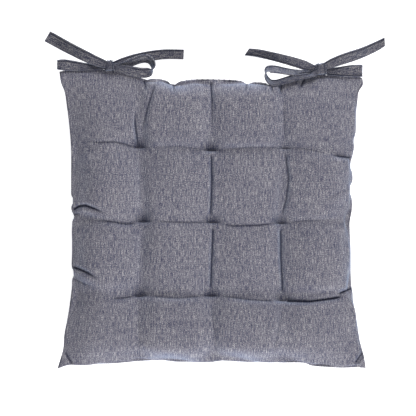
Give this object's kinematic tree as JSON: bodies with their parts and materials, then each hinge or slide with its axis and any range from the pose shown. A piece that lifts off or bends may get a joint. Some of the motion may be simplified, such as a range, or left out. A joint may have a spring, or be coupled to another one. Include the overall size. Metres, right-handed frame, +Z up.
{
  "type": "chair seat pad",
  "caption": "Square tufted chair seat pad in a heathered woven cover, filled with fibre, with a pair of tie tapes at each back corner tied in a bow.",
  "frame": {"origin": "under the middle of the pad, on the surface that it lies on", "axes": "+X to the right, +Y towards the back edge with the ties, +Z up out of the tufted top"},
  "size_m": [0.453, 0.4524, 0.042],
  "materials": {
    "cover_cloth": "heathered blue-grey chambray, fine plain weave with lengthwise slubs",
    "tape_cloth": "the cover cloth folded into a narrow tape and topstitched",
    "polyester_fibre": "matt white polyester fibre wadding",
    "sewing_thread": "dark blue-grey twisted polyester thread",
    "tuft_thread": "heavy dark twisted polyester thread"
  },
  "bodies": {
    "pad": {"top_panel": "cover_cloth", "bottom_panel": "cover_cloth", "fibre_filling": "polyester_fibre", "edge_seam_needle_thread": "sewing_thread", "edge_seam_bobbin_thread": "sewing_thread", "closing_stitches": "sewing_thread", "left_tie_root": "tape_cloth", "right_tie_root": "tape_cloth", "left_tie_bartack": "sewing_thread", "right_tie_bartack": "sewing_thread", "tuft_stitch_back_left": "tuft_thread", "tuft_stitch_back_centre": "tuft_thread", "tuft_stitch_back_right": "tuft_thread", "tuft_stitch_middle_left": "tuft_thread", "tuft_stitch_middle_centre": "tuft_thread", "tuft_stitch_middle_right": "tuft_thread", "tuft_stitch_front_left": "tuft_thread", "tuft_stitch_front_centre": "tuft_thread", "tuft_stitch_front_right": "tuft_thread"},
    "left_bow": {"left_bow_core_tape": "tape_cloth", "left_bow_wrap_tape": "tape_cloth"},
    "right_bow": {"right_bow_core_tape": "tape_cloth", "right_bow_wrap_tape": "tape_cloth"}
  },
  "joints": [
    {"name": "left_bow_swing", "type": "hinge", "parent": "pad", "child": "left_bow", "pos_m": [-0.137, 0.2005, 0.02], "axis": [1, 0, 0], "range_deg": [-75, 75]},
    {"name": "right_bow_swing", "type": "hinge", "parent": "pad", "child": "right_bow", "pos_m": [0.144, 0.2005, 0.02], "axis": [1, 0, 0], "range_deg": [-75, 75]}
  ]
}
